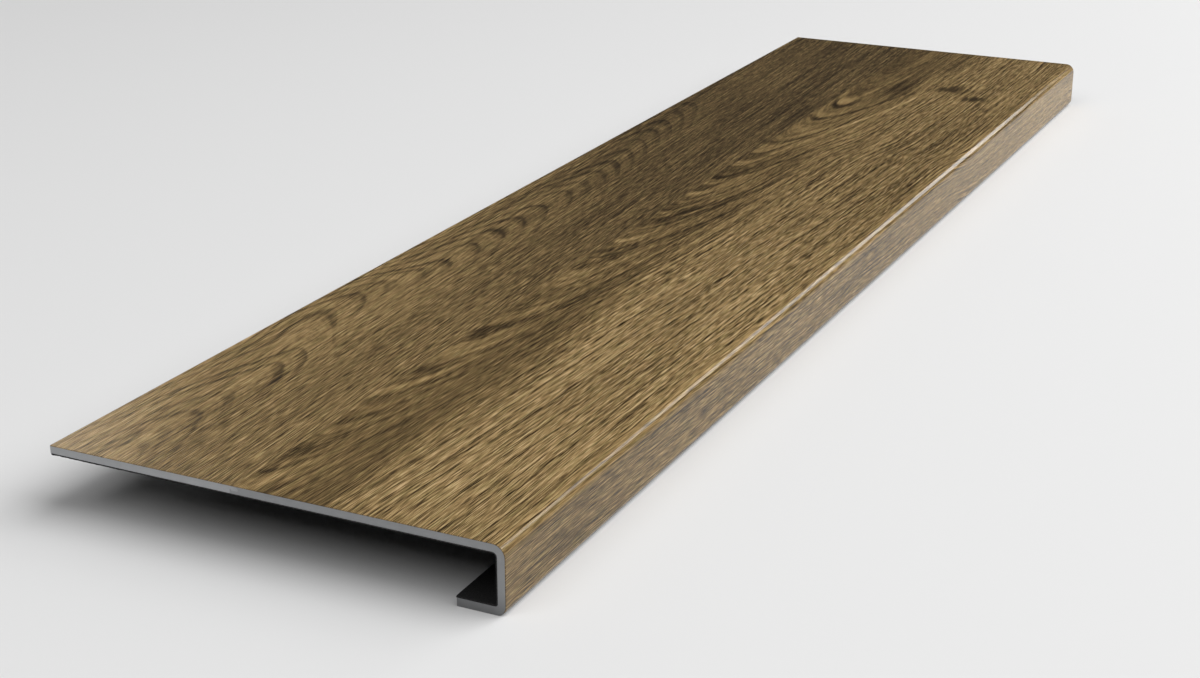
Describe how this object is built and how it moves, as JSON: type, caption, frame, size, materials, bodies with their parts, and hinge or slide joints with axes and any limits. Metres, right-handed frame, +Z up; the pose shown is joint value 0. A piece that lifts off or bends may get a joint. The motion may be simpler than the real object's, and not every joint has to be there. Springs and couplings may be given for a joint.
{
  "type": "stair tread",
  "caption": "Oak-look rigid vinyl stair tread: a flat board clicked into a nosing plank folded into a J with a short under-lip, over a grey core and black foam backing.",
  "frame": {"origin": "centre of the footprint at floor level, on the plane of the lip's underside", "axes": "+X along the tread's length, +Y from the nose to the back edge, +Z up out of the walking surface"},
  "size_m": [1.22, 0.3, 0.042],
  "materials": {
    "board_core": "sawn, matte",
    "nosing_core": "sawn, matte",
    "board_print": "embossed oak print, satin",
    "nosing_print": "embossed oak print, satin",
    "foam_backing": "closed-cell foam, matte"
  },
  "bodies": {
    "root": {"tread_board_core": "board_core", "tread_board_wear_layer": "board_print", "tread_board_backing": "foam_backing", "nosing_core": "nosing_core", "nosing_wear_layer": "nosing_print", "nosing_backing": "foam_backing"}
  },
  "joints": []
}
